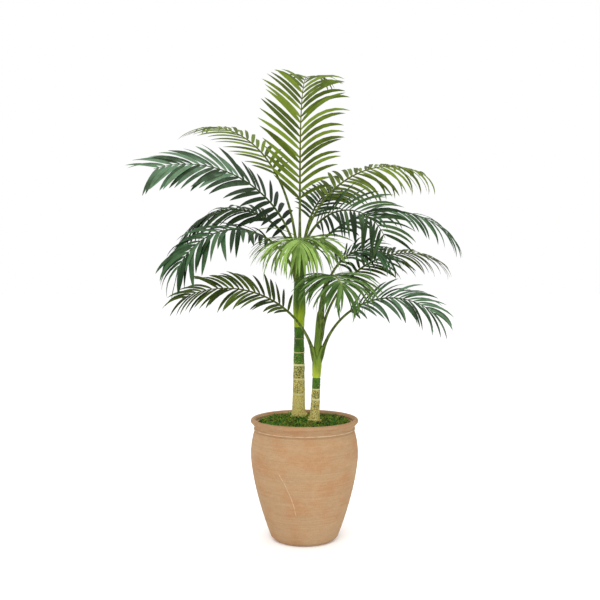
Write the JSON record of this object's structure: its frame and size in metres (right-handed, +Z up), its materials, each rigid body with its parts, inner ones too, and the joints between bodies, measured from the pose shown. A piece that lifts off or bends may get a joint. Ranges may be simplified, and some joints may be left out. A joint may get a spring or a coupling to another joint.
{
  "type": "potted palm",
  "caption": "Potted feather palm with ringed canes, green crownshafts and arching fronds, standing in soil and moss in a round terracotta pot.",
  "frame": {"origin": "middle of the pot's flat base", "axes": "+Z up along the pot's axis; +X to the right and +Y to the back, seen from the side the palm is meant to be looked at from"},
  "size_m": [1.1391, 0.7401, 1.652],
  "materials": {
    "terracotta": "matte unglazed clay with throwing lines and a pale bloom",
    "soil": "dark crumbly potting soil",
    "moss": "tufted green moss",
    "cane": "tan and green ringed palm stem",
    "crownshaft": "smooth waxy yellow-green leaf sheath",
    "leaf_bright": "satin yellow-green leaf",
    "leaf_middle": "satin mid-green leaf",
    "leaf_dark": "satin deep blue-green leaf"
  },
  "bodies": {
    "root": {"pot": "terracotta", "soil": "soil", "moss": "moss", "tall_cane": "cane", "short_cane": "cane", "tall_crownshaft": "crownshaft", "short_crownshaft": "crownshaft", "frond_front": "leaf_bright", "frond_left_back": "leaf_dark", "frond_left_high": "leaf_bright", "frond_left_long": "leaf_dark", "frond_left_middle": "leaf_dark", "frond_low_front": "leaf_middle", "frond_low_left": "leaf_middle", "frond_low_right": "leaf_dark", "frond_right_back": "leaf_dark", "frond_right_high": "leaf_bright", "frond_right_inner": "leaf_dark", "frond_right_long": "leaf_dark", "frond_right_middle": "leaf_middle", "frond_right_upper": "leaf_dark", "frond_top": "leaf_bright"}
  },
  "joints": []
}
